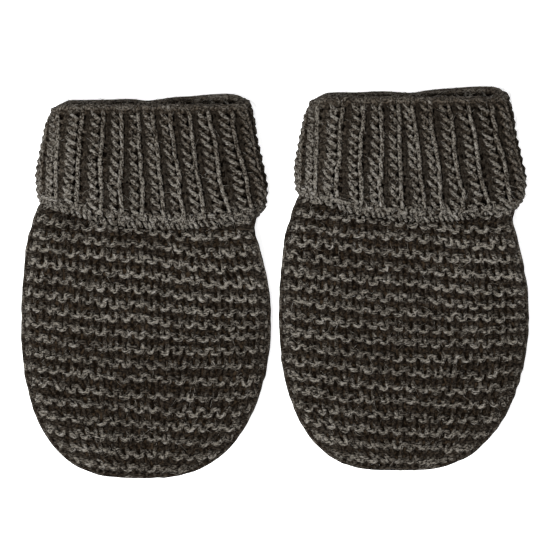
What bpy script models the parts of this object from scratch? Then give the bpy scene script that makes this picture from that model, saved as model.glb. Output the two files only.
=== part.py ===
"""A pair of thumbless hand-knitted baby mittens, laid flat side by side with their tips towards -Y.

Each mitten is two garter stitch panels, sewn together along the sides and the tip, and a tube of 1x1 rib that
is folded in half over itself, so that its free edge lies on the hand part. The panels and the cuff are walls
of knitted cloth, with a small gap wherever two of them meet. Sizes in the tables are in millimetres.
"""

from math import cos, pi, sin

import bmesh
import bpy
from mathutils import Vector

MM = 0.001

# The pair
CENTRE_LINES = 77.3 * MM  # from one mitten's centre line to the other's
STAGGER = 2.25 * MM  # the right mitten lies this much further towards +Y
LENGTH = 114.8 * MM  # of one mitten, from its tip to the fold of its cuff
HALF_LENGTH = LENGTH / 2

# The cloth
GARTER_WALL = 3.2 * MM
RIB_WALL = 2.8 * MM
SEAM_GAP = 0.3 * MM  # between two pieces that are sewn together
FOLD_GAP = 0.35 * MM  # between the two layers of the folded cuff

# The hand part: two walls thick at its edge, and plumper along its middle
EDGE_RADIUS = GARTER_WALL + SEAM_GAP / 2
HAND_CROWN = 1.9 * MM
WRIST_CROWN = 0.8 * MM
TIP_START = -12.5 * MM  # from here to the tip the outline is one round end
TIP_HALF_WIDTH = 37.5 * MM
TIP_SHOULDERS = 2.9  # the round end is a superellipse: its exponent across
TIP_TAPER = 1.95  # and along
TIP_LEAN = 1.7 * MM  # how far the tip leans to the left
HAND_TOP = 28.0 * MM  # where the panels end, under the cuff

# The cuff: four layers deep, with a slit between the inner two
MOUTH_SLIT = 1.95 * MM
CUFF_RADIUS = 2 * RIB_WALL + FOLD_GAP + MOUTH_SLIT / 2
FOLD_RADIUS = RIB_WALL + FOLD_GAP / 2
FOLD_CROWN = 1.6 * MM
EDGE_CROWN = 0.8 * MM
FRONT_FOLD = 54.4 * MM  # the front layer's fold, short of the back layer's
BACK_FOLD_LEFT = 55.6 * MM
BACK_FOLD_RIGHT = HALF_LENGTH
EDGE_LEFT = 23.9 * MM  # the cuff's free edge at its left side
EDGE_RIGHT = 19.6 * MM
FRONT_EDGE_SAG = 5.3 * MM  # how far the edge dips between its sides
BACK_EDGE_SAG = 3.0 * MM
EDGE_SAG_SHAPE = 1.2

# The hand part climbs onto the cuff's lower layer between these two stations
CLIMB_START = 1.0 * MM
CLIMB_END = 17.0 * MM

# Half-widths of the hand part, from its centre line.
HAND_WIDTHS = (
    # station, left, right
    (-12.5, 37.5, 37.5),
    (-4.0, 37.4, 37.2),
    (4.0, 36.7, 35.9),
    (12.0, 35.8, 33.9),
    (15.0, 35.0, 32.9),
    (17.0, 34.3, 32.3),
    (18.2, 33.9, 31.5),
    (19.3, 33.3, 30.4),
    (20.6, 32.5, 30.3),
    (21.9, 30.8, 30.7),
    (23.1, 28.7, 31.2),
    (24.5, 28.5, 31.9),
    (28.0, 29.6, 32.8),
)

# Half-widths of the turned-up layer of the cuff, from its fold (0) to its free edge (1).
CUFF_WIDTHS = (
    # share, left, right
    (0.00, 28.6, 32.1),
    (0.12, 29.8, 33.0),
    (0.28, 31.0, 33.8),
    (0.48, 32.5, 35.4),
    (0.68, 33.5, 36.8),
    (0.84, 33.2, 36.6),
    (0.93, 32.6, 35.4),
    (1.00, 31.8, 33.4),
)
INNER_SHARE = 0.72  # the inner layer ends level with this share of the outer one

# How finely the surfaces are divided
ARC_STEPS = 4
TIP_STEPS = 20
HAND_SHARES = (0.0, 0.3, 0.62, 1.0)  # from the end of the rounded edge to the centre line
FLAT_STEPS = 8
FOLD_STEPS = 6
INNER_STEPS = 3


def clear_scene():
    for ob in list(bpy.data.objects):
        bpy.data.objects.remove(ob)


def knit_material(name, colour):
    material = bpy.data.materials.new(name)
    material.use_nodes = True
    shader = material.node_tree.nodes["Principled BSDF"]
    shader.inputs["Base Color"].default_value = (*colour, 1)
    shader.inputs["Roughness"].default_value = 0.95
    shader.inputs["Metallic"].default_value = 0
    material.diffuse_color = (*colour, 1)
    return material


def between(start, end, share):
    return start + (end - start) * share


def eased(share):
    share = min(max(share, 0), 1)
    return share * share * (3 - 2 * share)


def half_widths(table, station):
    """Left and right at this station, on smooth curves through the table's rows."""
    last = len(table) - 1
    i = sum(row[0] <= station for row in table[1:last])
    here, there = table[i], table[i + 1]
    before, after = table[max(i - 1, 0)], table[min(i + 2, last)]
    span = there[0] - here[0]
    t = (station - here[0]) / span
    found = []
    for column in (1, 2):
        leaving = (there[column] - before[column]) / (there[0] - before[0]) * span
        arriving = (after[column] - here[column]) / (after[0] - here[0]) * span
        found.append(
            here[column] * (2 * t**3 - 3 * t**2 + 1)
            + leaving * (t**3 - 2 * t**2 + t)
            + there[column] * (3 * t**2 - 2 * t**3)
            + arriving * (t**3 - t**2)
        )
    return found[0] * MM, found[1] * MM


def hand_outline():
    """The hand part's outline, from the top of its left side round the tip to the top of its right side.

    Each point comes with the point of the centre line that its stretch of the panel runs in to.
    """
    left, right = [], []
    for row in HAND_WIDTHS[1:]:
        spine = Vector((0, row[0] * MM))
        left.insert(0, (Vector((-row[1] * MM, spine.y)), spine))
        right.append((Vector((row[2] * MM, spine.y)), spine))
    tip_centre = Vector((0, TIP_START))
    tip_length = HALF_LENGTH + TIP_START
    tip = []
    for i in range(TIP_STEPS + 1):
        angle = pi * (1 + i / TIP_STEPS)
        across = abs(cos(angle)) ** (2 / TIP_SHOULDERS) * (1 if cos(angle) > 0 else -1)
        along = abs(sin(angle)) ** (2 / TIP_TAPER)
        lean = TIP_LEAN * along**1.5
        point = Vector((across * TIP_HALF_WIDTH - lean, TIP_START - along * tip_length))
        tip.append((point, tip_centre))
    return left + tip + right


def hand_centre_height(y):
    climb = eased((y - CLIMB_START) / (CLIMB_END - CLIMB_START))
    return between(EDGE_RADIUS, CUFF_RADIUS, climb)


def hand_crown(y):
    return between(HAND_CROWN, WRIST_CROWN, eased((y - CLIMB_START) / (HAND_TOP - CLIMB_START)))


def panel_skin(inset, side):
    """One skin of a panel, as rows of points from the seam in to the centre line. side is 1 above, -1 below."""
    radius = EDGE_RADIUS - inset
    rows = []
    for edge, spine in hand_outline():
        depth = (spine - edge).length
        inwards = (spine - edge) / depth
        places = []
        for i in range(ARC_STEPS):
            angle = pi / 2 * i / ARC_STEPS
            places.append((inset + radius * (1 - cos(angle)), radius * sin(angle)))
        places += [(between(EDGE_RADIUS, depth, share), radius) for share in HAND_SHARES]
        row = []
        for distance, height in places:
            point = edge + inwards * distance
            if side > 0:
                height += hand_crown(point.y) * (1 - (1 - distance / depth) ** 2)
            height = max(height, SEAM_GAP / 2)
            row.append(Vector((*point, hand_centre_height(point.y) + side * height)))
        rows.append(row)
    return rows


def cuff_round():
    """The places round a flattened tube, each as its end (-1 left, 1 right), the share across and the lift."""
    upper = []
    for i in range(ARC_STEPS):
        angle = pi / 2 * i / ARC_STEPS
        upper.append((-1, -cos(angle), sin(angle)))
    upper += [(0, between(-1, 1, i / FLAT_STEPS), 1) for i in range(FLAT_STEPS)]
    for i in range(ARC_STEPS):
        angle = pi / 2 * i / ARC_STEPS
        upper.append((1, sin(angle), cos(angle)))
    return upper + [(-end, -share, -lift) for end, share, lift in upper]


def cuff_point(place, inset, share, rise=0.0, inner_end=None):
    """A point of the cuff at this place round it, this deep under its outer skin.

    share runs down the turned-up layer, and down the inner layer where inner_end says how far that goes.
    rise is how far the point stands above the start of the fold.
    """
    end, run, lift = place
    left, right = half_widths(CUFF_WIDTHS, share)
    radius = CUFF_RADIUS - inset
    if end == 0:
        x = between(CUFF_RADIUS - left, right - CUFF_RADIUS, (run + 1) / 2)
        across = x / (right if x > 0 else left)
    else:
        corner = (right if end > 0 else left) - CUFF_RADIUS
        x = end * corner + run * radius
        across = (end * corner + run * CUFF_RADIUS) / (end * (corner + CUFF_RADIUS)) * end
    front = (1 + lift) / 2
    rightwards = (1 + across) / 2
    back_fold = between(BACK_FOLD_LEFT, BACK_FOLD_RIGHT, rightwards)
    fold_start = between(back_fold, FRONT_FOLD, front) - FOLD_RADIUS
    if inner_end is None:
        sag = between(BACK_EDGE_SAG, FRONT_EDGE_SAG, front) * max(1 - across**2, 0) ** EDGE_SAG_SHAPE
        y = between(fold_start, between(EDGE_LEFT, EDGE_RIGHT, rightwards) - sag, share)
    else:
        y = between(fold_start, inner_end, share / INNER_SHARE)
    crown = between(FOLD_CROWN, EDGE_CROWN, share) * (1 - across**2) if lift > 0 else 0
    return Vector((x, y + rise, CUFF_RADIUS + radius * lift + crown))


def cuff_rings():
    """Rings of points that go once round the cuff's wall: down outside, back up inside it, and over the fold."""
    places = cuff_round()
    shares = [row[0] for row in CUFF_WIDTHS]
    inner_shares = [INNER_SHARE * i / INNER_STEPS for i in range(INNER_STEPS + 1)]
    inner_end = HAND_TOP + SEAM_GAP
    outer_depth, inner_depth = RIB_WALL, RIB_WALL + FOLD_GAP
    full_depth = inner_depth + RIB_WALL
    rings = [[cuff_point(p, 0, share) for p in places] for share in shares]
    rings += [[cuff_point(p, outer_depth, share) for p in places] for share in reversed(shares)]
    for share in inner_shares:
        rings.append([cuff_point(p, inner_depth, share, 0, inner_end) for p in places])
    for share in reversed(inner_shares):
        rings.append([cuff_point(p, full_depth, share, 0, inner_end) for p in places])
    for i in range(1, FOLD_STEPS):
        angle = pi * i / FOLD_STEPS
        depth = FOLD_RADIUS * (1 + cos(angle))
        rings.append([cuff_point(p, depth, 0, FOLD_RADIUS * sin(angle)) for p in places])
    return rings


def add_quads(bm, rows, closed):
    """Faces between rows of vertices, and round from the last row to the first where closed is set."""
    count = len(rows)
    for i in range(count if closed else count - 1):
        near, far = rows[i], rows[(i + 1) % count]
        width = len(near)
        for j in range(width if closed else width - 1):
            k = (j + 1) % width
            bm.faces.new((near[j], near[k], far[k], far[j]))


def finished_object(name, bm, place, material, collection):
    bmesh.ops.remove_doubles(bm, verts=bm.verts, dist=0.00001)
    bmesh.ops.recalc_face_normals(bm, faces=bm.faces)
    mesh = bpy.data.meshes.new(name)
    bm.to_mesh(mesh)
    bm.free()
    mesh.shade_smooth()
    mesh.set_sharp_from_angle(angle=pi / 4)
    mesh.materials.append(material)
    ob = bpy.data.objects.new(name, mesh)
    ob.location = place
    collection.objects.link(ob)
    return ob


def panel(name, side, place, material, collection):
    """A garter stitch panel: its outer and inner skins, joined along the seam and along its top edge."""
    bm = bmesh.new()
    outer, inner = (
        [[bm.verts.new(point) for point in row] for row in panel_skin(inset, side)]
        for inset in (0, GARTER_WALL)
    )
    add_quads(bm, outer, closed=False)
    add_quads(bm, inner, closed=False)
    seam = [[row[0] for row in outer], [row[0] for row in inner]]
    for rim in (seam, [outer[0], inner[0]], [outer[-1], inner[-1]]):
        add_quads(bm, rim, closed=False)
    return finished_object(name, bm, place, material, collection)


def cuff(name, place, material, collection):
    bm = bmesh.new()
    rings = [[bm.verts.new(point) for point in ring] for ring in cuff_rings()]
    add_quads(bm, rings, closed=True)
    return finished_object(name, bm, place, material, collection)


def main():
    clear_scene()
    collection = bpy.data.collections.new("baby mittens")
    bpy.context.scene.collection.children.link(collection)
    garter = knit_material("garter knit", (0.045, 0.038, 0.032))
    rib = knit_material("rib knit", (0.055, 0.047, 0.040))
    for name, hand in (("left", -1), ("right", 1)):
        place = Vector((hand * CENTRE_LINES / 2, hand * STAGGER / 2, 0))
        panel(f"{name}_front", 1, place, garter, collection)
        panel(f"{name}_back", -1, place, garter, collection)
        cuff(f"{name}_cuff", place, rib, collection)


main()
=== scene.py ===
"""The looks of a pair of hand-knitted baby mittens, laid flat side by side.

Every stitch is yarn that is really there. The hand parts are garter stitch, worked from the wrist to the tip
as one strand that turns at each end of a row. The cuffs are 1x1 rib, worked in the round from the cast-on
edge, over the fold and down into the mouth. Under the yarn of each piece lies a thin closed sheet, the body
of the cloth, and loose fibres stand off the yarn.

A mitten is made in a frame of its own: x runs across it from its centre line, y along it towards the cuff,
and z up from the floor. A station is a place along the mitten or, on a cuff, a length from the cast-on edge.
"""

from functools import partial
from math import cos, pi, sin
from typing import NamedTuple

import bpy
import numpy as np
from mathutils import Matrix, Vector


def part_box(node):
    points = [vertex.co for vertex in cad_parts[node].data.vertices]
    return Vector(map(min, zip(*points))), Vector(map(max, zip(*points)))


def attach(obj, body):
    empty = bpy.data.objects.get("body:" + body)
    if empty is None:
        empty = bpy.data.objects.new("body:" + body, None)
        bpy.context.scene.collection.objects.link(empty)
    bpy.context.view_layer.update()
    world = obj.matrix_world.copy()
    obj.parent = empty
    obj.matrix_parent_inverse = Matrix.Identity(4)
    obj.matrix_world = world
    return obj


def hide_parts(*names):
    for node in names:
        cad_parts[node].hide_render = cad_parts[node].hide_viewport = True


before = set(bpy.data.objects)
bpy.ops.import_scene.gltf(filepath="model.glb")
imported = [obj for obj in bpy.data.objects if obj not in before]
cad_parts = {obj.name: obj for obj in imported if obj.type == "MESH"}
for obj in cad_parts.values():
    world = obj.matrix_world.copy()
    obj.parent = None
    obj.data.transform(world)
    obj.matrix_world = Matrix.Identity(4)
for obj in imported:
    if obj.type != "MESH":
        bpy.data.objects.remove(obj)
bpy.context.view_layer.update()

MM = 0.001

# The outline of a hand part: the solids', but 0.5 mm longer at the tip and wider at the wrist
TIP_START = -12.5 * MM  # from here to its end the tip is one round
TIP_END = -57.9 * MM
TIP_HALF_WIDTH = 37.5 * MM
TIP_SHOULDERS = 2.9  # the round's exponent across
TIP_TAPER = 1.95  # and along
TIP_LEAN = 1.7 * MM  # how far the tip leans to the left
HAND_TOP = 28.0 * MM  # where the solids end, inside the cuff
HAND_WIDTHS = (
    # station, left, right, in mm
    (-12.5, 37.5, 37.5),
    (-4.0, 37.4, 37.2),
    (4.0, 36.7, 35.9),
    (12.0, 35.8, 33.9),
    (15.0, 35.0, 32.9),
    (17.0, 34.3, 32.5),
    (18.2, 34.0, 32.6),
    (19.3, 33.8, 32.9),
    (20.6, 33.4, 33.2),
    (21.9, 32.8, 33.0),
    (23.1, 32.3, 32.7),
    (24.5, 31.4, 32.4),
    (28.0, 29.6, 32.8),
)

# The height of a hand part, as the solids have it
EDGE_RADIUS = 3.35 * MM
HAND_CROWN = 1.9 * MM  # how much plumper the front is in its middle
WRIST_CROWN = 0.8 * MM
CLIMB_START = 1.0 * MM  # from here the seam climbs to the cuff's mid-height
CLIMB_END = 17.0 * MM

# The cuff: the solids', but with a slightly wider fold that waves and drops at its left corner
CUFF_RADIUS = 6.925 * MM
FOLD_RADIUS = 2.975 * MM
FOLD_CROWN = 1.6 * MM
EDGE_CROWN = 0.8 * MM
FRONT_FOLD = 54.4 * MM  # the fold on the front, short of the one on the back
BACK_FOLD_LEFT = 55.6 * MM
BACK_FOLD_RIGHT = 57.4 * MM
LEFT_CORNER = 1.1 * MM  # how far the fold drops there
EDGE_LEFT = 23.9 * MM  # the cast-on edge at its left end
EDGE_RIGHT = 19.6 * MM
FRONT_EDGE_SAG = 5.3 * MM  # how far the edge dips between its ends
BACK_EDGE_SAG = 3.0 * MM
EDGE_SAG_SHAPE = 1.2
INNER_SHARE = 0.72  # the inner layer is this share of the outer one
FOLD_WAVES = (
    # height of the back fold over a straight one, centre, width, in mm
    (0.4, 22, 6),
    (-0.9, 1.5, 5.5),
    (-0.3, -13, 9),
)
CUFF_WIDTHS = (
    # share down from the fold, left, right, in mm
    (0.00, 29.2, 32.1),
    (0.12, 30.4, 33.1),
    (0.28, 31.3, 33.9),
    (0.48, 32.5, 35.4),
    (0.68, 33.5, 36.8),
    (0.84, 33.2, 36.6),
    (0.93, 32.6, 35.4),
    (1.00, 31.8, 33.4),
)

# The grids of the skins under the yarn
PANEL_STATIONS = (-57.4, 24.6, 0.5)  # from, to and step, in mm
PANEL_COLUMNS = 241
OUTER_COURSES = 90
FOLD_COURSES = 24
INNER_COURSES = 50
COLUMNS_PER_RIB = 16
CORNER_STEPS = 30
RUN_STEPS = 80

# Garter stitch
STITCH = 4.0 * MM  # width of a stitch
ROW = 2.233 * MM  # two rows make a ridge
FIRST_ROW = 21.99 * MM  # station of the row nearest the wrist
ROWS = 36
GARTER_YARN = 0.74 * MM  # radius
GARTER_REACH = 1.85 * MM  # how far a loop reaches either side of its row
GARTER_BOW = 0.5 * MM  # how far a loop widens at its head
GARTER_WAVE = 0.82 * MM  # how far the yarn goes to the front and to the back of the cloth
GARTER_STEPS = 12  # points in a stitch
LEG_LEAN = 0.18  # radians by which the right legs stand out further than the left ones
# Painted light and shade: legs above each ridge painted lighter, legs below it darker, as shade under the
# ridge.
LEG_PAINTED_LIGHT = 0.17  # how much lighter the legs above a ridge are, and darker those below it
ROW_DIPS = (
    # station, how far a row there dips on its right and the width over which it does, in mm
    (-57, 0.6, 34),
    (-37, 1.2, 34),
    (-19, 0.6, 30),
    (-1.4, 3.0, 66),
    (14, 2.4, 40),
)
LEFT_RISE = 4.0 * MM  # how far a row has risen LEFT_REACH left of the centre line
LEFT_REACH = 36 * MM

# The seam between a mitten's panels
SEAM_HEIGHT = 1.15 * MM  # the rows end this far above the seam
SEAM_YARN = 0.62 * MM
SEAM_REACH = 1.9 * MM  # how far the whip stitches go up and down
SEAM_STEPS = 10
EDGE_YARN = 0.85 * MM
EDGE_RISE = 0.62 * MM  # of a panel's edge stitches from the seam
EDGE_STEPS = 4

# Rib
RIBS = 24
KNIT_SHARE = 0.73  # of a rib and its furrow
RIB_ROW = 2.9 * MM
RIB_YARN = 0.68 * MM
RIB_REACH = 2.3 * MM
KNIT_WAVE = 0.62 * MM
FURROW_WAVE = 0.25 * MM
RIB_STEPS = 11
FIRST_ROUND = 5.2 * MM  # from the cast-on edge
OUTER_ROUNDS = 11
FOLD_ROW = 3.4 * MM
FOLD_ROUNDS = 3
INNER_ROW = 2.52 * MM
INNER_ROUNDS = 4
FURROWS = (
    # across the front in mm, near the fold and near the edge
    (-29.4, -31.2),
    (-24.0, -25.2),
    (-16.8, -18.3),
    (-10.6, -11.4),
    (-5.4, -5.1),
    (-0.7, 1.8),
    (4.2, 7.8),
    (9.3, 13.5),
    (15.0, 20.1),
    (21.2, 27.6),
    (28.3, 34.4),
)
FURROW_START = 0.06  # the share down from the fold where the first of those places holds
FURROW_SPAN = 0.9  # and how much further down the second one does

# The cuff's cast-on edge and its fold
CAST_ON_YARN = 0.52 * MM
CAST_ON_STEPS = 8
BUMP_WAVE = 0.45 * MM
BUMP_REACH = 0.9 * MM
BUMP_ROUNDS = ((2.5 * MM, 1), (3.9 * MM, -1))  # station, and whether heads (1) or feet (-1) stand out
CORD_YARN = 0.85 * MM
CORD_OFFSETS = (-2.3 * MM, 0.0, 2.3 * MM)  # from the fold's crest
CORD_STEPS = 8
FOLD_STRETCH = 5 * MM  # rounds nearer its crest are stretched

# The closed sheets under the yarn: how deep they lie, their wall, and their rows and columns
PANEL_DEPTH = 1.5 * MM
PANEL_GRID = (84, 61)
CUFF_DEPTH = 1.9 * MM
CUFF_GRID = (60, 97)
SHEET_WALL = 0.7 * MM

# Yarn is a tube, and two quads close an open end.
YARN_SIDES = 6
END_QUADS = ((0, 1, 2, 3), (0, 3, 4, 5))

# Loose fibres
FIBRE_RADII = (0.058 * MM, 0.056 * MM, 0.046 * MM, 0.016 * MM)  # from root to tip
FIBRE_SIDES = 3
FIBRE_LENGTHS = (1.3, 3.4)  # shortest and longest, in mm
FIBRE_LIGHT = 2.2  # how much lighter than the yarn
HAND_FIBRES = 1280
CUFF_FIBRES = 1880
FLOOR_GAP = 0.02 * MM

# The studio
CAMERA_HEIGHT = 1.2
CAMERA_Y = 1.95 * MM
SENSOR = 36
FIELD = 0.165  # what the camera sees, across, at the height of the seams
LAMPS = (
    # name, place, size, power
    ("key", (-0.3, -0.22, 1.0), 0.3, 20.0),
    ("fill", (0.3, 0.3, 1.0), 0.6, 3.5),
)
SKY_STRENGTH = 0.2
FLOOR_GLOW = 0.65


# ---- small sums


def between(start, end, share):
    return start + (end - start) * share


def eased(share):
    share = np.clip(share, 0, 1)
    return share * share * (3 - 2 * share)


def hump(value, centre, width):
    """1 at the centre, falling off smoothly on both sides. The centre and width are in mm."""
    return np.exp(-(((value - centre * MM) / (width * MM)) ** 2))


def unit(vectors):
    return vectors / np.linalg.norm(vectors, axis=-1, keepdims=True)


def joined(*parts):
    return np.concatenate(parts)


def lengths_along(points):
    steps = np.linalg.norm(np.diff(points, axis=0), axis=1)
    return joined([0], np.cumsum(steps))


def along_line(points, places, wanted):
    return np.stack([np.interp(wanted, places, column) for column in points.T], axis=1)


def half_widths(table, station):
    """Left and right at this station, on smooth curves through the table's rows."""
    last = len(table) - 1
    i = sum(row[0] <= station for row in table[1:last])
    here, there = table[i], table[i + 1]
    before, after = table[max(i - 1, 0)], table[min(i + 2, last)]
    span = there[0] - here[0]
    t = (station - here[0]) / span
    found = []
    for column in (1, 2):
        leaving = (there[column] - before[column]) / (there[0] - before[0]) * span
        arriving = (after[column] - here[column]) / (after[0] - here[0]) * span
        found.append(
            here[column] * (2 * t**3 - 3 * t**2 + 1)
            + leaving * (t**3 - 2 * t**2 + t)
            + there[column] * (3 * t**2 - 2 * t**3)
            + arriving * (t**3 - t**2)
        )
    return found[0] * MM, found[1] * MM


def wander(chance, count, knots, amount):
    """A slow random line of this many values."""
    values = chance.normal(0, amount, max(int(knots), 2) + 2)
    places = np.linspace(0, len(values) - 1, count)
    low = np.minimum(places.astype(int), len(values) - 2)
    return between(values[low], values[low + 1], eased(places - low))


def round_wander(chance, count, knots, amount):
    """A slow random line that ends where it starts."""
    values = wander(chance, count, knots, amount)
    fade = eased(np.arange(count) * (RIBS * 0.7 / count))
    return values * fade + values[-1] * (1 - fade)


# ---- the form of a hand part


def tip_outline(steps):
    """Points of the round end, from its left side to its right."""
    points = []
    for i in range(steps + 1):
        angle = pi * (1 + i / steps)
        across = abs(cos(angle)) ** (2 / TIP_SHOULDERS) * (1 if cos(angle) > 0 else -1)
        along = abs(sin(angle)) ** (2 / TIP_TAPER)
        lean = TIP_LEAN * along**1.5
        points.append((across * TIP_HALF_WIDTH - lean, between(TIP_START, TIP_END, along)))
    return np.array(points)


TIP = tip_outline(800)
LOWEST = int(TIP[:, 1].argmin())
# The angles run from pi to 2 pi, because each point counts as a little below the start.
TIP_ANGLES = 2 * pi + np.arctan2(TIP[:, 1] - TIP_START - 1e-12, TIP[:, 0])
TIP_RADII = np.hypot(TIP[:, 0], TIP[:, 1] - TIP_START)
SIDE_STATIONS = np.linspace(TIP_START, HAND_TOP, 160)
SIDE_WIDTHS = np.array([half_widths(HAND_WIDTHS, y / MM) for y in SIDE_STATIONS])


def edge_x(y, hand):
    """Where the outline is at this station, on the left (-1) or the right (1)."""
    tip = TIP[LOWEST::-1] if hand < 0 else TIP[LOWEST:]
    widths = SIDE_WIDTHS[1:, 0 if hand < 0 else 1]
    ys = joined(tip[:, 1], SIDE_STATIONS[1:])
    xs = joined(tip[:, 0], hand * widths)
    return np.interp(y, ys, xs)


def edge_distance(x, y):
    """How far in from the outline a point is, and how deep the panel is there."""
    left = np.interp(y, SIDE_STATIONS, SIDE_WIDTHS[:, 0])
    right = np.interp(y, SIDE_STATIONS, SIDE_WIDTHS[:, 1])
    depth = np.where(x > 0, right, left)
    drop = y - TIP_START
    tip_depth = np.interp(2 * pi + np.arctan2(drop, x), TIP_ANGLES, TIP_RADII)
    distance = np.where(drop < 0, tip_depth - np.hypot(x, drop), depth - np.abs(x))
    return distance, np.where(drop < 0, tip_depth, depth)


def seam_height(y):
    return between(EDGE_RADIUS, CUFF_RADIUS, eased((y - CLIMB_START) / (CLIMB_END - CLIMB_START)))


def hand_height(x, y, side):
    """Height of the skin of the upper (1) or the lower panel (-1), and how far that is from the seam's."""
    distance, depth = edge_distance(x, y)
    distance = np.clip(distance, 0, None)
    inwards = np.clip(EDGE_RADIUS - distance, 0, None)
    lift = np.sqrt(EDGE_RADIUS**2 - inwards**2)
    if side > 0:
        climb = eased((y - CLIMB_START) / (HAND_TOP - CLIMB_START))
        crown = between(HAND_CROWN, WRIST_CROWN, climb)
        lift = lift + crown * (1 - (1 - distance / depth) ** 2)
    return seam_height(y) + side * lift, lift


def row_rise(x, station):
    """How far a row lies above its own station, because the pieces were pulled a little askew."""
    stations, dips, spans = np.array(ROW_DIPS).T * MM
    dip = np.interp(station, stations, dips)
    span = np.interp(station, stations, spans)
    left = LEFT_RISE * (np.abs(x) / LEFT_REACH) ** 1.5
    return np.where(x < 0, left, -dip * np.sin(pi * x / span))


def row_end(station, hand):
    """Where a row meets the outline, on the left (-1) or the right (1)."""
    y = station
    for _ in range(12):
        x = edge_x(y, hand)
        y = between(y, station + row_rise(x, station), 0.6)
    return x


# ---- skins to knit on


class Cloth:
    """A skin to knit on. Rows of the grid are rows of knitting, and its columns are shares along them.

    face is 1, or -1 where the grid's own normals point inwards. halves are the lengths of each row left and
    right of the centre line.
    """

    def __init__(self, points, shares, stations, closed, face=1, halves=None):
        self.points = points
        self.shares = shares
        self.stations = stations
        self.closed = closed
        self.face = face
        self.halves = halves
        padded = points
        if closed:
            padded = np.concatenate([points[:, -2:-1], points, points[:, 1:2]], axis=1)
        along = np.gradient(padded, axis=1)
        along = along[:, 1:-1] if closed else along
        up = np.gradient(points, axis=0)
        self.normals = unit(np.cross(along, up) * face)

    def at(self, share, station):
        """Points and normals of the skin."""
        if self.closed:
            low, high = self.shares[0], self.shares[-1]
            share = (share - low) % (high - low) + low
        i = np.interp(station, self.stations, np.arange(len(self.stations)))
        j = np.interp(share, self.shares, np.arange(len(self.shares)))
        i0 = np.minimum(i.astype(int), len(self.stations) - 2)
        j0 = np.minimum(j.astype(int), len(self.shares) - 2)
        a, b = (i - i0)[:, None], (j - j0)[:, None]
        found = []
        for grid in (self.points, self.normals):
            low = grid[i0, j0] * (1 - b) + grid[i0, j0 + 1] * b
            high = grid[i0 + 1, j0] * (1 - b) + grid[i0 + 1, j0 + 1] * b
            found.append(low * (1 - a) + high * a)
        return found[0], unit(found[1])


def hand_cloth(side):
    """The skin of a panel. Shares run from -1 at the left seam, through 0, to 1 at the right seam."""
    shares = np.linspace(-1, 1, PANEL_COLUMNS)
    stations = np.arange(*PANEL_STATIONS) * MM
    swing = np.linspace(-pi / 2, pi / 2, 700)
    rows, halves = [], []
    for station in stations:
        x = between(row_end(station, -1), row_end(station, 1), (1 + np.sin(swing)) / 2)
        y = station + row_rise(x, station)
        z, lift = hand_height(x, y, side)
        line = np.stack([x, y, z], axis=1)
        line = line[lift > min(SEAM_HEIGHT, 0.7 * lift.max())]
        places = lengths_along(line)
        middle = np.interp(0, line[:, 0], places)
        left = middle * (1 + shares)
        right = middle + (places[-1] - middle) * shares
        rows.append(along_line(line, places, np.where(shares < 0, left, right)))
        halves.append((middle, places[-1] - middle))
    return Cloth(np.array(rows), shares, stations, closed=False, face=side, halves=np.array(halves))


def cuff_ring(share, rise, inset, inner):
    """A dense ring of points round the cuff, from its left end over the front to its right end and back.

    share is how far down from the fold the ring lies, on the outer layer or the inner one. rise is how far it
    lies up the round of the fold, and inset how far inside the outer skin.
    """
    left, right = half_widths(CUFF_WIDTHS, share)
    radius = CUFF_RADIUS - inset
    corner_left, corner_right = CUFF_RADIUS - left, right - CUFF_RADIUS
    quarter = np.linspace(0, pi / 2, CORNER_STEPS, endpoint=False)
    runs = np.linspace(0, 1, RUN_STEPS, endpoint=False)
    left_end = corner_left - radius * np.cos(quarter)
    right_end = corner_right + radius * np.sin(quarter)
    x = joined(left_end, between(corner_left, corner_right, runs), right_end)
    lift = joined(np.sin(quarter), np.ones(RUN_STEPS), np.cos(quarter))
    sideways = joined(np.cos(quarter), np.zeros(RUN_STEPS), np.sin(quarter))
    outer_x = x + np.sign(x) * inset * sideways
    # The lower half is the upper one, backwards.
    x = joined(x, [corner_right + radius], x[:0:-1])
    outer_x = joined(outer_x, [right], outer_x[:0:-1])
    lift = joined(lift, [0], -lift[:0:-1])
    across = np.clip(np.where(outer_x > 0, outer_x / right, outer_x / left), -1, 1)
    front = (1 + lift) / 2
    rightwards = (1 + across) / 2
    waves = sum(height * hump(x, centre, width) for height, centre, width in FOLD_WAVES)
    back_fold = between(BACK_FOLD_LEFT, BACK_FOLD_RIGHT, rightwards) + waves * MM
    fold_start = between(back_fold, FRONT_FOLD, front) - FOLD_RADIUS
    if inner:
        y = between(fold_start, HAND_TOP, share / INNER_SHARE)
    else:
        sag = between(BACK_EDGE_SAG, FRONT_EDGE_SAG, front) * (1 - across**2) ** EDGE_SAG_SHAPE
        y = between(fold_start, between(EDGE_LEFT, EDGE_RIGHT, rightwards) - sag, share)
    y = y - LEFT_CORNER * eased((-across - 0.8) / 0.2) * (1 - share) ** 8
    crown = np.where(lift > 0, between(FOLD_CROWN, EDGE_CROWN, share) * (1 - across**2), 0)
    ring = np.stack([x, y + rise, CUFF_RADIUS + radius * lift + crown], axis=1)
    return joined(ring, ring[:1])


def furrow_places(ring, share):
    """Lengths round the ring, from its left end, at which the furrows lie, once round, and at its points."""
    places = lengths_along(ring)
    upper = int(ring[:, 0].argmax()) + 1
    down = (share - FURROW_START) / FURROW_SPAN
    across = np.array([between(top, bottom, down) * MM for top, bottom in FURROWS])
    front = np.interp(across, ring[:upper, 0], places[:upper])
    back = np.linspace(front[-1], front[0] + places[-1], RIBS - len(FURROWS) + 2)
    return joined(front, back[1:]), places


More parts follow.
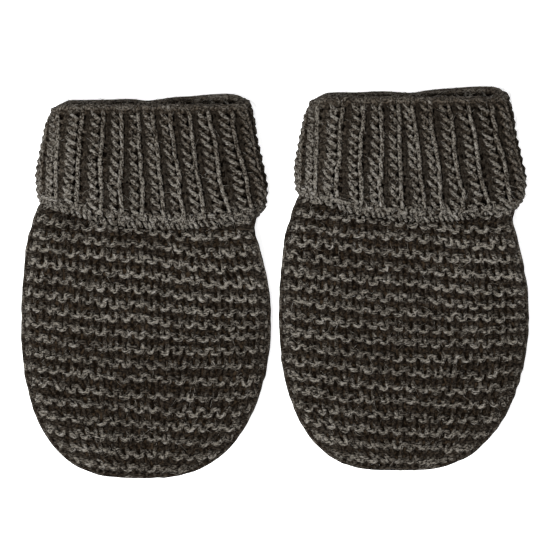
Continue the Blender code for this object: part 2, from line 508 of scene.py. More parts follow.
def cuff_cloth():
    """The cuff's outward skin, from its cast-on edge up, over the fold and down into the mouth.

    Shares count the furrows: furrow 0 is the first on the front, at its left, and a rib lies between two.
    """
    shares = np.linspace(0, RIBS, RIBS * COLUMNS_PER_RIB + 1)
    courses = [(share, 0, 0, False) for share in np.linspace(1, 0, OUTER_COURSES)]
    for angle in np.linspace(0, pi, FOLD_COURSES + 2)[1:-1]:
        inset = FOLD_RADIUS * (1 - cos(angle))
        courses.append((0, FOLD_RADIUS * sin(angle), inset, angle > pi / 2))
    for share in np.linspace(0, INNER_SHARE, INNER_COURSES):
        courses.append((share, 0, 2 * FOLD_RADIUS, True))
    rows = []
    for share, rise, inset, inner in courses:
        ring = cuff_ring(share, rise, inset, inner)
        if inset == 0:
            furrows, places = furrow_places(ring, share)
            pattern = furrows / places[-1]
        else:
            places = lengths_along(ring)
            furrows = pattern * places[-1]
        wanted = np.interp(shares, np.arange(RIBS + 1), furrows) % places[-1]
        rows.append(along_line(ring, places, wanted))
    points = np.array(rows)
    middle = points[:, len(FURROWS) * COLUMNS_PER_RIB // 2]
    return Cloth(points, shares, lengths_along(middle), closed=True)


# ---- the way the yarn goes


class Strand(NamedTuple):
    """A length of yarn. lifts are 1 at the top of the cloth and 0 at its bottom; low ones get painted shade.
    """

    points: np.ndarray
    normals: np.ndarray
    radii: np.ndarray
    lifts: np.ndarray
    closed: bool


def strand_in(cloth, share, place, depth, radii, lifts, closed=True):
    """A strand at these depths under the skin."""
    points, normals = cloth.at(share, place)
    return Strand(points - normals * depth[:, None], normals, radii, np.clip(lifts, 0, 1), closed)


def garter_row(cloth, r, chance):
    """One row of a panel, from left to right. It stands out at its feet in even rows, at its heads in odd."""
    station = FIRST_ROW - r * ROW
    face = 1 if r % 2 == 0 else -1
    ridge = FIRST_ROW - (r // 2 * 2 + 0.5) * ROW
    halves = [np.interp(ridge, cloth.stations, cloth.halves[:, k]) for k in (0, 1)]
    counts = [max(round(half / STITCH), 1) for half in halves]
    stitches = sum(counts)
    t = np.linspace(-counts[0], counts[1], stitches * GARTER_STEPS + 1)

    def uneven(amount, knots=2 * stitches):
        return wander(chance, len(t), knots, amount)

    turn = 2 * pi * (t + 0.5)
    slack = 1 + uneven(0.13)
    bow = GARTER_BOW * (1 + uneven(0.3))
    spread = np.where(t < 0, halves[0], halves[1])
    count = np.where(t < 0, counts[0], counts[1])
    share = t / count + (bow * np.sin(2 * turn) + uneven(0.26 * MM)) / spread
    reach = -GARTER_REACH * slack * np.cos(turn)
    place = station + reach + uneven(0.25 * MM, stitches / 2)
    inside = eased((1 - np.abs(share)) * spread / (5 * MM))
    swell = face * np.cos(turn - face * LEG_LEAN)
    swell = np.where(swell > 0, swell * (0.85 + 0.15 * np.cos(turn)), swell)
    wave = GARTER_WAVE * swell * between(0.35, 1, inside) + uneven(0.1 * MM)
    depth = np.maximum(GARTER_YARN + GARTER_WAVE - wave, GARTER_YARN * 0.93)
    radii = GARTER_YARN * (1 + uneven(0.05))
    # The lifts set painted shade: legs above a ridge get painted light, legs below it painted shade.
    lifts = (1 + swell) / 2 + LEG_PAINTED_LIGHT * face * np.sin(turn) ** 2 + uneven(0.1, stitches)
    return strand_in(cloth, np.clip(share, -1, 1), place, depth, radii, lifts, closed=False)


def garter_strand(cloth, chance):
    """All rows of a panel as one strand that turns at the end of each row."""
    parts = []
    for r in range(ROWS):
        row = garter_row(cloth, r, chance)[:4]
        parts.append([values[::-1] for values in row] if r % 2 else row)
    return Strand(*[joined(*values) for values in zip(*parts)], closed=False)


def seam_line(steps, chance):
    """Points along the outline from the wrist down the left side, round the tip and up the right side.

    It also gives the way inwards at each point, and a function that makes slow random lines for them.
    """
    ys = np.linspace(25 * MM, TIP_START, 200)
    left = np.stack([edge_x(ys, -1), ys], axis=1)
    right = np.stack([edge_x(ys, 1), ys], axis=1)[::-1]
    edge = joined(left[:-1], TIP, right[1:])
    spine = np.stack([0 * ys, ys], axis=1)
    tip_spine = np.tile([0, TIP_START], (len(TIP), 1))
    inwards = unit(joined(spine[:-1], tip_spine, spine[::-1][1:]) - edge)
    places = lengths_along(edge)
    wraps = round(places[-1] / ROW)
    wanted = np.linspace(0, places[-1], wraps * steps + 1)
    uneven = partial(wander, chance, len(wanted), wraps)
    return along_line(edge, places, wanted), along_line(inwards, places, wanted), uneven


def seam_strand(chance):
    """Whip stitches over the seam."""
    edge, inwards, uneven = seam_line(SEAM_STEPS, chance)
    turn = 2 * pi * np.arange(len(edge)) / SEAM_STEPS + uneven(0.3)
    reach = EDGE_RADIUS - SEAM_YARN - 0.12 * MM + uneven(0.08 * MM)
    flat = edge + inwards * (EDGE_RADIUS - reach * np.cos(turn))[:, None]
    points = np.column_stack([flat, seam_height(edge[:, 1]) + SEAM_REACH * np.sin(turn)])
    normals = np.column_stack([-inwards * np.cos(turn)[:, None], np.sin(turn)])
    radii = SEAM_YARN * (1 + uneven(0.06))
    return Strand(points, normals, radii, 0.35 + 0.35 * np.cos(turn), closed=False)


def edge_strand(side, chance):
    """The edge stitches of the upper (1) or the lower panel (-1), drawn out to a line along the seam."""
    edge, inwards, uneven = seam_line(EDGE_STEPS, chance)
    depth = EDGE_YARN + uneven(0.06 * MM)
    flat = edge + inwards * depth[:, None]
    rise = EDGE_RISE + uneven(0.12 * MM)
    points = np.column_stack([flat, seam_height(edge[:, 1]) + side * rise])
    normals = np.column_stack([-inwards, 0.3 * side + 0 * depth])
    radii = EDGE_YARN * (1 + uneven(0.06))
    lifts = 0.62 + uneven(0.12)
    return Strand(points, normals, radii, np.clip(lifts, 0, 1), closed=False)


def cast_on(cloth, chance):
    """The cast-on itself: yarn wound round the cuff's edge."""
    t = np.arange(RIBS * 4 * CAST_ON_STEPS) / CAST_ON_STEPS
    uneven = partial(round_wander, chance, len(t), RIBS * 4)
    turn = 2 * pi * t
    share = t / 4 + uneven(0.06)
    place = np.maximum((1.3 - 0.75 * np.sin(turn)) * MM + uneven(0.22 * MM), 0.45 * MM)
    depth = (1.35 - 0.7 * np.cos(turn)) * MM + np.abs(uneven(0.2 * MM))
    radii = CAST_ON_YARN * (1 + uneven(0.1))
    lifts = 0.72 + 0.28 * np.cos(turn) + uneven(0.12)
    return strand_in(cloth, share, place, depth, radii, lifts)


def bump_round(cloth, station, face, chance):
    """One round of bumps near the cast-on: a stitch's loop stands out at its head (1) or its foot (-1)."""
    t = np.arange(RIBS * 2 * RIB_STEPS) / RIB_STEPS

    def uneven(amount, knots=RIBS * 4):
        return round_wander(chance, len(t), knots, amount)

    turn = 2 * pi * (t - 0.25 * face)
    share = (t + 0.13 * np.sin(2 * turn)) / 2 + uneven(0.075)
    slack = 1 + uneven(0.35)
    place = station + BUMP_REACH * slack * np.cos(turn) + uneven(0.25 * MM, RIBS * 3)
    depth = CAST_ON_YARN + BUMP_WAVE * (1 - face * np.cos(turn)) + np.abs(uneven(0.2 * MM))
    radii = CAST_ON_YARN * (1 + uneven(0.1))
    lifts = 0.8 + 0.2 * face * np.cos(turn) + uneven(0.12)
    return strand_in(cloth, share, place, depth, radii, lifts)


def fold_cord(cloth, station, chance):
    """Yarn drawn out straight along the fold, where the furrows are stretched open."""
    share = np.arange(RIBS * CORD_STEPS) / CORD_STEPS

    def uneven(amount, knots=RIBS):
        return round_wander(chance, len(share), knots, amount)

    place = station + uneven(0.12 * MM)
    on_front = eased((len(FURROWS) - np.abs(share - len(FURROWS) / 2) * 2) / 2)
    depth = CORD_YARN * 1.02 + 0.4 * MM * on_front + np.abs(uneven(0.08 * MM))
    radii = CORD_YARN * (1 + uneven(0.04))
    lifts = 0.74 + uneven(0.1, RIBS * 2)
    return strand_in(cloth, share, place, depth, radii, lifts)


def rib_round(cloth, station, stretch, chance):
    """One round of rib: a knit stitch on each rib and a purl stitch in each furrow.

    stretch is 1 where the fold draws the stitches smooth, and 0 away from it.
    """
    t = np.arange(RIBS * 2 * RIB_STEPS) / RIB_STEPS
    stitch = t.astype(int)
    knit = stitch % 2 == 1
    rib = stitch // 2

    def uneven(amount, knots=RIBS * 4):
        return round_wander(chance, len(t), knots, amount)

    turn = 2 * pi * (t - stitch) - pi
    width = np.where(knit, KNIT_SHARE, 1 - KNIT_SHARE)
    lean = np.where(knit, 0.25 - 0.17 * np.sin(turn), 0.12)
    across = stitch / 2 + width * (turn / (2 * pi) + lean * np.sin(2 * turn))
    drift = np.sin(station / (3.1 * MM) + 2.4 * rib) + np.sin(station / (5.3 * MM) + 1.7 * rib * rib)
    share = across + uneven(0.026) + 0.03 * drift
    reach = RIB_REACH * (1 + 0.25 * stretch) * (1 + uneven(0.07))
    place = station + reach * np.cos(turn) + uneven(0.14 * MM, RIBS)
    # The first ribs on the front are pulled flat.
    pulled_flat = eased(1 - np.abs(across - 0.9) / 2.6)
    wave = KNIT_WAVE * between(1, 0.62, pulled_flat) * (1 - 0.45 * stretch)
    front = RIB_YARN + wave * (1 + np.cos(2 * turn))
    behind = RIB_YARN + 2 * wave + FURROW_WAVE * (1 - np.cos(2 * turn))
    depth = np.where(knit, front, behind) + np.abs(uneven(0.08 * MM))
    radii = RIB_YARN * (1 + uneven(0.05))
    # Painted shade: lifts drop near the fold, where the cuff curves away, so the wool is painted darker
    # there.
    lifts = 1 - (depth - RIB_YARN) / (2 * KNIT_WAVE + 2 * FURROW_WAVE) - 0.25 * stretch
    return strand_in(cloth, share, place, depth, radii, lifts + uneven(0.07))


def cuff_strands(cloth, chance):
    """All yarn of a cuff: its edge, its fold, and its rounds of rib from the edge to the mouth."""
    crest = cloth.stations[OUTER_COURSES - 1] + 0.5 * pi * FOLD_RADIUS
    strands = [cast_on(cloth, chance)]
    strands += [bump_round(cloth, station, face, chance) for station, face in BUMP_ROUNDS]
    strands += [fold_cord(cloth, crest + offset, chance) for offset in CORD_OFFSETS]
    pitches = [RIB_ROW] * (OUTER_ROUNDS - 1) + [FOLD_ROW] * FOLD_ROUNDS + [INNER_ROW] * INNER_ROUNDS
    for station in FIRST_ROUND + np.cumsum([0, *pitches]):
        stretch = 1 - min(abs(station - crest) / FOLD_STRETCH, 1)
        strands.append(rib_round(cloth, station, stretch, chance))
    return strands


# ---- meshes


def new_object(name, data):
    made = bpy.data.objects.new(name, data)
    bpy.context.scene.collection.objects.link(made)
    return made


def mesh_object(name, vertices, quads, triangles, uv_maps, attributes, material):
    """An object from arrays. A UV map has two numbers a corner, an attribute has one a vertex."""
    corners = joined(quads.ravel(), triangles.ravel()).astype(np.int32)
    totals = np.repeat([4, 3], [len(quads), len(triangles)]).astype(np.int32)
    starts = joined([0], np.cumsum(totals)[:-1]).astype(np.int32)
    mesh = bpy.data.meshes.new(name)
    mesh.vertices.add(len(vertices))
    mesh.vertices.foreach_set("co", vertices.astype(np.float32).ravel())
    mesh.loops.add(len(corners))
    mesh.loops.foreach_set("vertex_index", corners)
    mesh.polygons.add(len(totals))
    mesh.polygons.foreach_set("loop_start", starts)
    mesh.polygons.foreach_set("loop_total", totals)
    mesh.update(calc_edges=True)
    mesh.shade_smooth()
    for kind, values in uv_maps.items():
        layer = mesh.uv_layers.new(name=kind)
        layer.data.foreach_set("uv", values.astype(np.float32).ravel())
    for kind, values in attributes.items():
        attribute = mesh.attributes.new(kind, "FLOAT", "POINT")
        attribute.data.foreach_set("value", values.astype(np.float32))
    mesh.materials.append(material)
    return new_object(name, mesh)


def atlas_places(numbers, cells, along, around):
    """Places in the unit square for corners of numbered cells, each cell with a margin of its own."""
    columns = max(int(np.ceil((cells * 0.45) ** 0.5)), 1)
    lines = int(np.ceil(cells / columns))
    margin = 0.06
    u = (numbers % columns)[:, None] + margin + along * (1 - 2 * margin)
    v = (numbers // columns)[:, None] + margin + around * (1 - 2 * margin)
    return np.stack([u / columns, v / lines], axis=2)


def yarn_frame(points, normals, closed):
    """Along the yarn, out of the cloth and across the yarn, at each point."""
    if closed:
        tangents = unit(np.roll(points, -1, axis=0) - np.roll(points, 1, axis=0))
    else:
        tangents = unit(np.gradient(points, axis=0))
    across = unit(np.cross(tangents, normals))
    return tangents, np.cross(across, tangents), across


def yarn_object(name, strands, place, nap_and_painted_light, material, steps):
    """Round yarn along each strand, as one mesh.

    The UV map "yarn" holds the metres along the strand and the share round it. "OFBake" gives each length of
    so many steps a place of its own. The attribute "lift" is the strand's, and the wool is painted darker
    where it is low, as painted shade. The second attribute sets how light the wool is painted there, partly
    for raised nap and partly as painted light and shade.
    """
    vertices, faces, alongs, rounds, numbers, corners, lifts, naps_and_painted_light = [], [], [], [], [], [], [], []
    start, cell = 0, 0
    angles = 2 * pi * np.arange(YARN_SIDES) / YARN_SIDES
    for strand in strands:
        count = len(strand.points)
        points = strand.points + place
        points[:, 2] = np.maximum(points[:, 2], strand.radii)
        _, out, across = yarn_frame(points, strand.normals, strand.closed)
        ring = out[:, None] * np.cos(angles)[:, None] + across[:, None] * np.sin(angles)[:, None]
        vertices.append((points[:, None] + ring * strand.radii[:, None, None]).reshape(-1, 3))
        lifts.append(np.repeat(strand.lifts, YARN_SIDES))
        naps_and_painted_light.append(np.repeat(nap_and_painted_light(strand.points[:, 0], strand.points[:, 1]), YARN_SIDES))

        # The sides of the tube
        segments = count if strand.closed else count - 1
        i = np.repeat(np.arange(segments), YARN_SIDES)
        j = np.tile(np.arange(YARN_SIDES), segments)
        here, there, beside = i * YARN_SIDES, (i + 1) % count * YARN_SIDES, (j + 1) % YARN_SIDES
        faces.append(start + np.stack([here + j, here + beside, there + beside, there + j], axis=1))
        places = lengths_along(joined(points, points[:1]))
        alongs.append(places[np.stack([i, i, i + 1, i + 1], axis=1)])
        rounds.append(np.stack([j, j + 1, j + 1, j], axis=1) / YARN_SIDES)
        step = i % steps
        numbers.append(cell + i // steps)
        corners.append(np.stack([step, step, step + 1, step + 1], axis=1) / steps)
        cell += segments // steps + 1

        # The ends of an open one
        if not strand.closed:
            for end, order in ((0, -1), (count - 1, 1)):
                cap = start + end * YARN_SIDES + np.arange(YARN_SIDES)[::order]
                faces.append(cap[np.array(END_QUADS)])
                alongs.append(np.full((2, 4), places[end]))
                rounds.append(np.array([[0.1, 0.15, 0.2, 0.25]] * 2))
                numbers.append(np.array([cell] * 2))
                corners.append(np.array([[0.0, 0.0, 0.1, 0.1]] * 2))
                cell += 1
        start += count * YARN_SIDES
    around = joined(*rounds)
    uv_maps = {
        "yarn": np.stack([joined(*alongs), around], axis=2),
        "OFBake": atlas_places(joined(*numbers), cell, joined(*corners), around),
    }
    attributes = {"lift": joined(*lifts), "nap_and_painted_light": joined(*naps_and_painted_light)}
    no_triangles = np.zeros((0, 3))
    quads = joined(*faces)
    return mesh_object(name, joined(*vertices), quads, no_triangles, uv_maps, attributes, material)


def fibre_roots(strands, nap_and_painted_light, amount, chance):
    """Where fibres stand on the yarn: points, three directions there, lifts and naps."""
    lengths = np.array([len(strand.points) for strand in strands])
    found = []
    for strand, share in zip(strands, lengths / lengths.sum()):
        points, normals, radii, lifts, closed = strand
        count = round(amount * share)
        i = chance.integers(2, len(points) - 2, count)
        tangents, out, across = yarn_frame(points, normals, closed)
        angle = chance.normal(0, 0.8, count)[:, None]
        away = out[i] * np.cos(angle) + across[i] * np.sin(angle)
        sideways = across[i] * np.cos(angle) - out[i] * np.sin(angle)
        roots = points[i] + away * radii[i][:, None] * 0.92
        naps_and_painted_light = nap_and_painted_light(points[i, 0], points[i, 1]) * FIBRE_LIGHT
        found.append([roots, tangents[i], away, sideways, np.clip(lifts[i] + 0.15, 0, 1), naps_and_painted_light])
    return [joined(*values) for values in zip(*found)]


def fibre_rings(roots, tangents, outs, sideways, chance):
    """The corners of every fibre's rings. A fibre is an arc that leaves the yarn and comes back."""
    count = len(roots)
    length = chance.uniform(*FIBRE_LENGTHS, count)[:, None] * MM
    swing = chance.normal(0, 0.75, count)[:, None]
    forwards = np.where(chance.random(count) < 0.5, -1, 1)[:, None]
    heading = forwards * tangents * np.cos(swing) + sideways * np.sin(swing)
    rise = chance.uniform(0.1, 0.42, count)[:, None] * MM
    drop = chance.uniform(-0.35, 0.35, count)[:, None] * MM
    middle = roots + heading * length * 0.55 + outs * rise * 2
    curl = chance.normal(0, 0.5, count)[:, None] * MM
    tip = roots + heading * length + outs * drop + np.cross(outs, heading) * curl
    angles = [2 * pi * side / FIBRE_SIDES for side in range(FIBRE_SIDES)]
    rings = []
    for step, radius in enumerate(FIBRE_RADII):
        t = step / (len(FIBRE_RADII) - 1)
        line = roots * (1 - t) ** 2 + middle * 2 * t * (1 - t) + tip * t**2
        direction = unit((middle - roots) * (1 - t) + (tip - middle) * t)
        across = unit(np.cross(direction, outs))
        over = np.cross(across, direction)
        rings.append(np.stack([line + radius * (over * cos(a) + across * sin(a)) for a in angles], axis=1))
    return np.stack(rings, axis=1)


def fibres_object(name, strands, place, nap_and_painted_light, material, amount, chance):
    """Loose fibres that stand off the yarn, thin closed hairs with the yarn's maps and attributes."""
    *roots, lifts, naps_and_painted_light = fibre_roots(strands, nap_and_painted_light, amount, chance)
    vertices = fibre_rings(*roots, chance).reshape(-1, 3) + place
    vertices[:, 2] = np.maximum(vertices[:, 2], FLOOR_GAP)
    count = len(lifts)
    last = len(FIBRE_RADII) - 1
    quads, along, around = [], [], []
    for step in range(last):
        for j in range(FIBRE_SIDES):
            here, there, k = step * FIBRE_SIDES, (step + 1) * FIBRE_SIDES, (j + 1) % FIBRE_SIDES
            quads.append([here + j, here + k, there + k, there + j])
            along.append([step, step, step + 1, step + 1])
            around.append([j, j + 1, j + 1, j])
    caps = np.array([[2, 1, 0], last * FIBRE_SIDES + np.arange(3)])
    per_fibre = len(FIBRE_RADII) * FIBRE_SIDES
    firsts = np.arange(count)[:, None, None] * per_fibre
    all_quads = (np.array(quads) + firsts).reshape(-1, 4)
    all_caps = (caps + firsts).reshape(-1, 3)

    quad_along = np.tile(np.array(along) / last, (count, 1))
    quad_around = np.tile(np.array(around) / FIBRE_SIDES, (count, 1))
    cap_along = np.tile([[0.0] * 3, [1.0] * 3], (count, 1))
    starts = chance.uniform(0, 5, count)
    yarn_places, atlas = [], []
    for each, corner_along, corner_around in (
        (len(quads), quad_along, quad_around),
        (len(caps), cap_along, 0 * cap_along),
    ):
        numbers = np.repeat(np.arange(count), each)
        yarn_places.append((starts[numbers][:, None] + corner_along * 2 * MM).ravel())
        atlas.append(atlas_places(numbers, count, corner_along, corner_around).reshape(-1, 2))
    metres = joined(*yarn_places)
    uv_maps = {"yarn": np.stack([metres, 0 * metres], axis=1), "OFBake": joined(*atlas)}
    attributes = {"lift": np.repeat(lifts, per_fibre), "nap_and_painted_light": np.repeat(naps_and_painted_light, per_fibre)}
    return mesh_object(name, vertices, all_quads, all_caps, uv_maps, attributes, material)


def sheet_object(name, cloth, grid, depth, place, material):
    """A thin closed sheet under the yarn, on some rows and columns of the cloth's points."""
    rows, columns = grid
    i = np.unique(np.linspace(0, len(cloth.stations) - 1, rows).astype(int))
    j = np.unique(np.linspace(0, len(cloth.shares) - 1, columns).astype(int))
    if cloth.closed:
        j = j[:-1]
    points = cloth.points[np.ix_(i, j)] - cloth.normals[np.ix_(i, j)] * depth
    count = len(j)
    faces = []
    for a in range(len(i) - 1):
        for b in range(count if cloth.closed else count - 1):
            c = (b + 1) % count
            faces.append((a * count + b, a * count + c, (a + 1) * count + c, (a + 1) * count + b))
    mesh = bpy.data.meshes.new(name)
    mesh.from_pydata([tuple(p) for p in points.reshape(-1, 3)], [], faces)
    mesh.shade_smooth()
    mesh.materials.append(material)
    piece = new_object(name, mesh)
    bpy.context.view_layer.objects.active = piece
    if cloth.face < 0:
        mesh.flip_normals()
    wall = piece.modifiers.new("wall", "SOLIDIFY")
    wall.thickness = SHEET_WALL
    wall.offset = -1
    bpy.ops.object.modifier_apply(modifier=wall.name)
    piece.data.transform(Matrix.Translation(Vector(place)))
    return piece


# ---- finishes


class Value:
    """An output in a material's nodes. Sums on it add Math nodes."""

    def __init__(self, finish, socket):
        self.finish = finish
        self.socket = socket

    def math(self, operation, *others):
        return self.finish.node("ShaderNodeMath", {"operation": operation}, [self, *others])

    def __add__(self, other):
        return self.math("ADD", other)

    def __sub__(self, other):
        return self.math("SUBTRACT", other)

    def __mul__(self, other):
        return self.math("MULTIPLY", other)

    def __truediv__(self, other):
        return self.math("DIVIDE", other)


class Finish:
    """A material and the nodes that are added to it."""

    def __init__(self, name, roughness, shine=0.04):
        self.material = bpy.data.materials.new(name)
        self.material.use_nodes = True
        self.nodes = self.material.node_tree.nodes
        self.links = self.material.node_tree.links
        self.shader = self.nodes["Principled BSDF"]
        self.shader.inputs["Roughness"].default_value = roughness
        self.shader.inputs["Specular IOR Level"].default_value = shine

    def node(self, kind, settings=None, inputs=(), output=0):
        """An output of a new node. The inputs are a list in the node's order, or a dictionary."""
        made = self.nodes.new(kind)
        for key, value in (settings or {}).items():
            setattr(made, key, value)
        pairs = inputs.items() if isinstance(inputs, dict) else enumerate(inputs)
        for key, value in pairs:
            if isinstance(value, Value):
                self.links.new(value.socket, made.inputs[key])
            else:
                made.inputs[key].default_value = value
        return Value(self, made.outputs[output])

    def attribute(self, name):
        return self.node("ShaderNodeAttribute", {"attribute_name": name}, output=2)

    def object_place(self):
        return self.node("ShaderNodeTexCoord", output=3)

    def noise(self, place, scale, detail=2.0, roughness=0.5):
        inputs = {"Vector": place, "Scale": scale, "Detail": detail, "Roughness": roughness}
        return self.node("ShaderNodeTexNoise", None, inputs)

    def scaled(self, value, low, high, to_low=0.0, to_high=1.0, kind="LINEAR"):
        """to_low where the value is low or less, to_high where it is high or more."""
        settings = {"interpolation_type": kind}
        return self.node("ShaderNodeMapRange", settings, [value, low, high, to_low, to_high])

    def mixed(self, factor, first, second):
        """Between two colours. The first may be a node's output."""
        if not isinstance(first, Value):
            first = (*first, 1)
        settings = {"data_type": "RGBA"}
        return self.node("ShaderNodeMix", settings, {0: factor, 6: first, 7: (*second, 1)}, output=2)

    def set(self, name, value):
        self.links.new(value.socket, self.shader.inputs[name])

    def bump(self, height, distance, strength):
        inputs = {"Height": height, "Distance": distance, "Strength": strength}
        self.set("Normal", self.node("ShaderNodeBump", None, inputs))


def darkened(colour, share):
    return tuple(share * c for c in colour)


def wool(name, dark, light, fleck, crest_start, low_light, grain_stretch):
    """Two-ply wool yarn in a heather of dark and light fibres.

    The light fibres show along the yarn's crest as a painted highlight, and its sides are painted darker as
    painted shade;
    the crest starts at crest_start, the cosine of its angle from the top of the yarn. The wool is painted
    darker where its lift is low, as painted shade, and low_light is how much of the dark colour is left at
    the bottom of the cloth. A second attribute sets how light it is painted by place, partly for raised nap
    and partly as painted light and shade. grain_stretch is how fine the grain is across, along and up.
    """
    finish = Finish(name, roughness=0.92)
    uv = finish.node("ShaderNodeUVMap", {"uv_map": "yarn"})
    along = finish.node("ShaderNodeSeparateXYZ", None, [uv])
    around = Value(finish, along.socket.node.outputs[1])
    lift = finish.attribute("lift")
    nap_and_painted_light = finish.attribute("nap_and_painted_light")

    # Each fibre winds round the yarn once in 7 mm.
    millimetres = along * 1000
    twist = (around + millimetres / 7.0) * (2 * pi)
    coiled = [millimetres * 0.5, twist.math("COSINE") * 1.9, twist.math("SINE") * 1.9]
    fibre = finish.noise(finish.node("ShaderNodeCombineXYZ", None, coiled), 1.0, 3.0, 0.7)
    patch = finish.noise(uv, 260.0)
    stretched = [finish.object_place(), grain_stretch]
    grain = finish.noise(finish.node("ShaderNodeVectorMath", {"operation": "MULTIPLY"}, stretched), 1700.0)

    # Painted highlight along the top of the yarn, and painted shade on its sides.
    crest = finish.scaled((around * (2 * pi)).math("COSINE"), crest_start, 1.0, kind="SMOOTHSTEP")
    # Painted shade: the wool is painted darker where its lift is low, deep in the cloth.
    height = finish.scaled(lift, 0.46, 1.0).math("POWER", 1.5)
    fibres = fibre * 5.4 - 2.05 + (patch - 0.5) * 2.2 + (grain - 0.5) * 6.0
    fibres = fibres.math("MAXIMUM", 0.0).math("MINIMUM", 1.6)
    # shade sums the painted highlight, the painted shade and the painted light and shade by place, over the
    # fibres' heather.
    shade = fibres * (crest * 0.92 + 0.08) * (height * 0.94 + 0.06) * nap_and_painted_light
    # Painted shade: at low lift the dark colour is darkened further, unless low_light is 1; the grain mottles
    # it.
    mottle_and_painted_shade = finish.scaled(grain, 0.44, 0.62) * finish.scaled(lift, 0.1, 0.7, low_light, 1.0)
    colour = finish.mixed(mottle_and_painted_shade, darkened(dark, 0.2), dark)
    colour = finish.mixed(shade.math("MINIMUM", 1.0), colour, light)
    # Light flecks, the heather's own, shown mostly on the painted highlight and away from the painted shade.
    hair = finish.scaled(fibre + (grain - 0.5) * 0.3, 0.58, 0.68)
    finish.set("Base Color", finish.mixed(hair * crest * height * nap_and_painted_light * 0.65, colour, fleck))

    ply = (twist * 2).math("COSINE")
    finish.bump(ply * 0.4 + fibre * 1.3 + grain * 0.5, 0.0003, 0.9)
    return finish.material


def cloth_body(name, colour):
    """The dark mass of yarn behind the stitches; its dark colour is painted shade, deep between them."""
    finish = Finish(name, roughness=1.0, shine=0.0)
    grain = finish.noise(finish.object_place(), 1050.0)
    fleck = finish.scaled(grain, 0.46, 0.66)
    finish.set("Base Color", finish.mixed(fleck, darkened(colour, 0.12), colour))
    finish.bump(grain, 0.0004, 0.8)
    return finish.material


def hand_nap_and_painted_light(x, y):
    """How light the wool is painted, partly for raised nap and partly as painted light: most below the wrist
    and along the left side. Painted shade darkens a hollow across the middle and the tip.
    """
    # Painted light, partly raised nap, below the wrist and along both sides.
    below_wrist = 0.55 * hump(x, 23, 14) * hump(y, 5, 13) + 0.2 * hump(y, 1, 12)
    left_side = 0.4 * hump(x, -37, 7) + 0.35 * hump(x, -28, 12) * hump(y, -46, 10)
    right_side = 0.3 * hump(x, 39, 6) * hump(y, 1, 12)
    # Painted shade across a hollow in the middle and towards the tip.
    hollow = 0.07 * hump(y, -29, 12)
    tip = 0.22 * eased((-38 * MM - y) / (20 * MM)) * eased((x + 15 * MM) / (30 * MM))
    return 0.845 + below_wrist + left_side + right_side - hollow - tip


def cuff_nap_and_painted_light(x, y):
    """The cuff is painted lighter towards its edge and left of the middle, partly for raised nap and partly
    as painted light, and darker at its right side and near the fold, as painted shade.
    """
    # Painted light, partly raised nap, towards the edge and left of the middle.
    down = eased((50 * MM - y) / (30 * MM))
    left = 0.26 * hump(x, -24, 10) - 0.1 * hump(x, -39, 5)
    # Painted shade at the right side; the last line also paints shade near the fold.
    right = 0.08 * hump(x, 18, 12) + 0.7 * hump(x, 36, 6)
    return between(0.8, 1.44, down) - 0.13 * hump(y, 52, 5) + left - right


# ---- the mittens


def mitten_place(name):
    """The mitten's own origin: on its centre line, on the floor, HAND_TOP short of its panels' upper end."""
    low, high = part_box(f"{name}_front")
    return np.array([(low.x + high.x) / 2, high.y - HAND_TOP, 0])


def make_hand(name, place, cloths, yarn_finish, body_finish, chance):
    """A mitten's two panels and the seam between them."""
    panels = {}
    for panel, cloth in cloths.items():
        node = f"{name}_{panel}"
        strands = [garter_strand(cloth, chance)]
        yarn = yarn_object(f"{node}_yarn", strands, place, hand_nap_and_painted_light, yarn_finish, GARTER_STEPS)
        body = sheet_object(f"{node}_cloth", cloth, PANEL_GRID, PANEL_DEPTH, place, body_finish)
        fibres = fibres_object(f"{node}_fibres", strands, place, hand_nap_and_painted_light, yarn_finish, HAND_FIBRES, chance)
        for piece in (yarn, fibres, body):
            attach(piece, "root")
        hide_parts(f"{name}_{panel}")
        panels[panel] = [body, yarn, fibres]
    strands = [seam_strand(chance), edge_strand(1, chance), edge_strand(-1, chance)]
    seam = yarn_object(f"{name}_seam", strands, place, hand_nap_and_painted_light, yarn_finish, SEAM_STEPS)
    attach(seam, "root")
    for panel, on, pieces in (("back", [], [seam]), ("front", [f"{name}_back"], [])):
        body, yarn, fibres = panels[panel]


def make_cuff(name, place, cloth, yarn_finish, body_finish, chance):
    node = f"{name}_cuff"
    strands = cuff_strands(cloth, chance)
    yarn = yarn_object(f"{node}_yarn", strands, place, cuff_nap_and_painted_light, yarn_finish, RIB_STEPS)
    body = sheet_object(f"{node}_cloth", cloth, CUFF_GRID, CUFF_DEPTH, place, body_finish)
    fibres = fibres_object(f"{node}_fibres", strands, place, cuff_nap_and_painted_light, yarn_finish, CUFF_FIBRES, chance)
    for piece in (yarn, fibres, body):
        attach(piece, "root")
    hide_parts(f"{name}_cuff")


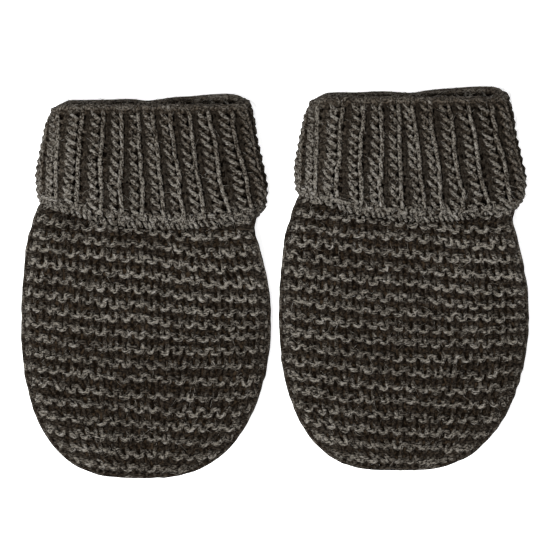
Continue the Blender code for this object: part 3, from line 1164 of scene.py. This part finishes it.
def make_mittens():
    garter_wool = wool(
        "garter wool",
        dark=(0.0175, 0.0120, 0.0076),
        light=(0.1505, 0.1365, 0.1150),
        fleck=(0.304, 0.2935, 0.287),
        crest_start=0.0,
        low_light=1.0,
        grain_stretch=(0.6, 1.5, 1.0),
    )
    rib_wool = wool(
        "rib wool",
        dark=(0.0430, 0.0315, 0.0210),
        light=(0.1395, 0.1282, 0.1098),
        fleck=(0.288, 0.277, 0.268),
        crest_start=-0.4,
        low_light=0.0,
        grain_stretch=(1.0, 1.0, 1.0),
    )
    # The sheets' dark colours are painted shade, for the cloth deep between the stitches.
    garter_body = cloth_body("garter cloth", (0.0240, 0.0170, 0.0110))
    rib_body = cloth_body("rib cloth", (0.0130, 0.0095, 0.0065))
    panels = {"front": hand_cloth(1), "back": hand_cloth(-1)}
    cuff = cuff_cloth()
    for name, seed in (("left", 10), ("right", 12)):
        place = mitten_place(name)
        chance = np.random.default_rng(seed)
        make_hand(name, place, panels, garter_wool, garter_body, chance)
        make_cuff(name, place, cuff, rib_wool, rib_body, chance)


# ---- the studio


def make_floor():
    bpy.ops.mesh.primitive_plane_add(size=4, location=(0, 0, 0))
    floor = bpy.context.object
    floor.name = "floor"
    paper = Finish("white floor", roughness=0.9)
    paper.shader.inputs["Base Color"].default_value = (0.9, 0.9, 0.9, 1)
    paper.shader.inputs["Emission Color"].default_value = (1, 1, 1, 1)
    paper.shader.inputs["Emission Strength"].default_value = FLOOR_GLOW
    floor.data.materials.append(paper.material)


def make_light():
    world = bpy.data.worlds.new("studio")
    world.use_nodes = True
    sky = world.node_tree.nodes["Background"]
    sky.inputs["Color"].default_value = (1, 1, 1, 1)
    sky.inputs["Strength"].default_value = SKY_STRENGTH
    bpy.context.scene.world = world
    for name, place, size, power in LAMPS:
        light = bpy.data.lights.new(name, "AREA")
        light.size = size
        light.energy = power
        lamp = new_object(name, light)
        lamp.location = place
        lamp.rotation_euler = (-Vector(place)).to_track_quat("-Z", "Y").to_euler()


def make_camera():
    camera_data = bpy.data.cameras.new("camera")
    camera_data.sensor_width = SENSOR
    camera_data.lens = SENSOR * (CAMERA_HEIGHT - EDGE_RADIUS) / FIELD
    camera = new_object("camera", camera_data)
    camera.location = (0, CAMERA_Y, CAMERA_HEIGHT)
    bpy.context.scene.camera = camera
    bpy.context.scene.view_settings.view_transform = "Standard"


make_mittens()
make_floor()
make_light()
make_camera()
